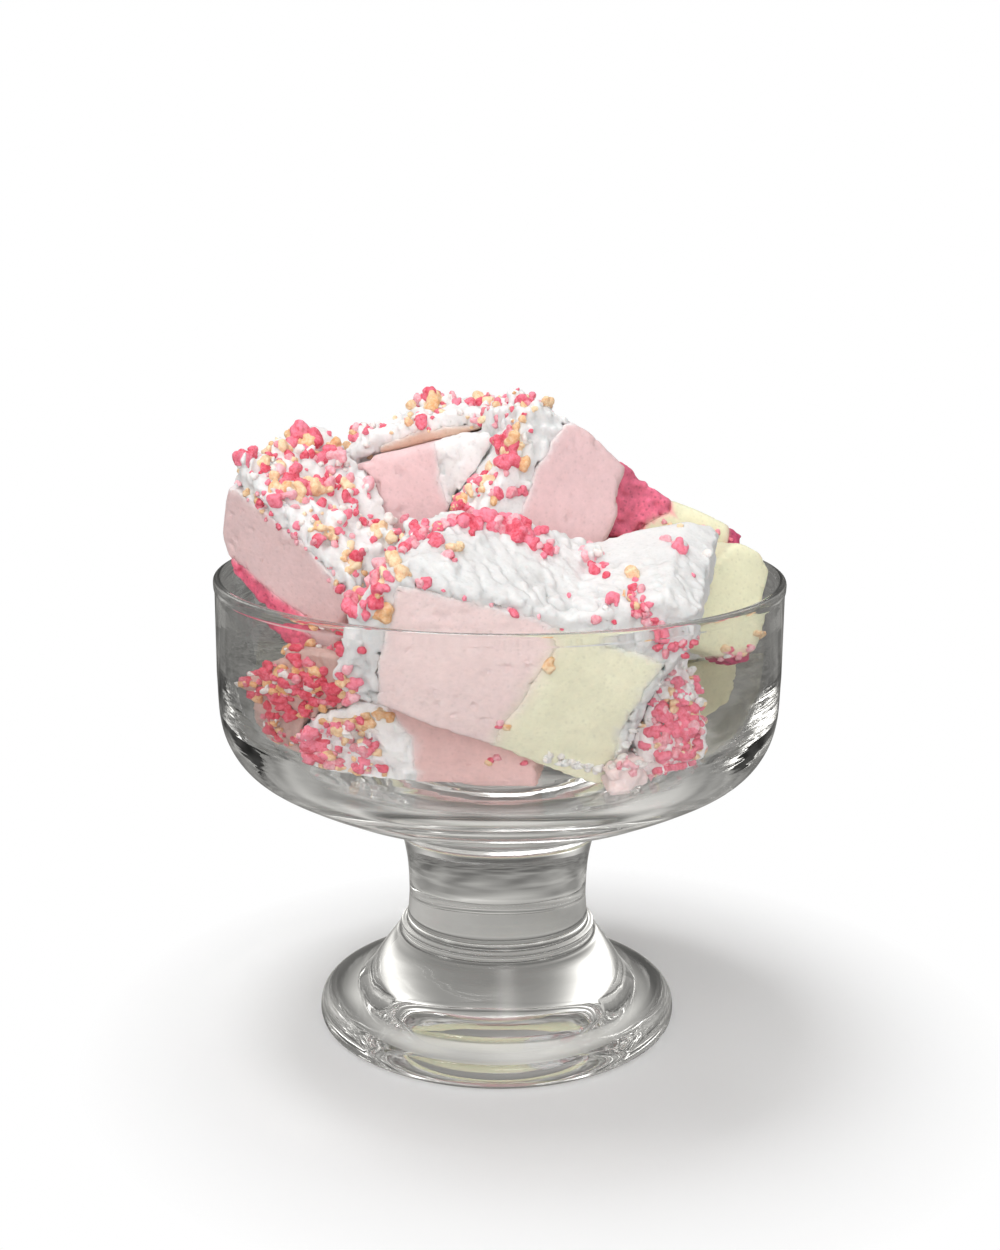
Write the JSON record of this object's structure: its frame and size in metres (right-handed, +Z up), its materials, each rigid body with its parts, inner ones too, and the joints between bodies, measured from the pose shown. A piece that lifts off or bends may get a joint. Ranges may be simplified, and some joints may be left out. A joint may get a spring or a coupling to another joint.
{
  "type": "bowl of freeze-dried candy",
  "caption": "Footed clear glass dessert bowl heaped with broken chunks of freeze-dried ice cream candy, pink, cream and berry layers in a white coat with cake crumbs.",
  "frame": {"origin": "centre of the foot's underside, on the surface it stands on, below the bowl's axis", "axes": "+Z up along the bowl's axis; -Y towards the side that the picture shows; +X to its right"},
  "size_m": [0.105, 0.105, 0.1217],
  "materials": {
    "glass": "clear polished pressed glass",
    "coat": "matte white ice cream coat with pink and tan cake crumbs",
    "pink": "matte porous dried pink ice cream",
    "cream": "matte porous dried vanilla ice cream",
    "berry": "matte porous dried red fruit layer"
  },
  "bodies": {
    "root": {"glass_bowl": "glass", "front_pink": "pink", "front_cream": "cream", "front_coat": "coat", "left_berry": "berry", "left_pink": "pink", "left_coat": "coat", "upper_pink": "pink", "upper_coat": "coat", "wedge_berry": "berry", "wedge_end": "berry", "wedge_cream": "cream", "middle_pink": "pink", "middle_coat": "coat", "right_berry": "berry", "right_cream": "cream", "back_pink": "pink", "back_coat": "coat", "under_berry": "berry", "under_cream": "cream", "lower_pink": "pink", "lower_coat": "coat", "corner_coat": "coat", "standing_coat": "coat", "pale_cream": "cream", "centre_coat": "coat", "rear_pink": "pink", "rear_cream": "cream", "rear_coat": "coat", "rear_top_pink": "pink", "rear_top_coat": "coat", "rear_left_pink": "pink", "rear_left_cream": "cream", "rear_left_coat": "coat", "rear_right_berry": "berry", "rear_right_cream": "cream", "rear_right_coat": "coat", "rear_base_cream": "cream", "rear_base_coat": "coat", "lump_coat": "coat"}
  },
  "joints": []
}
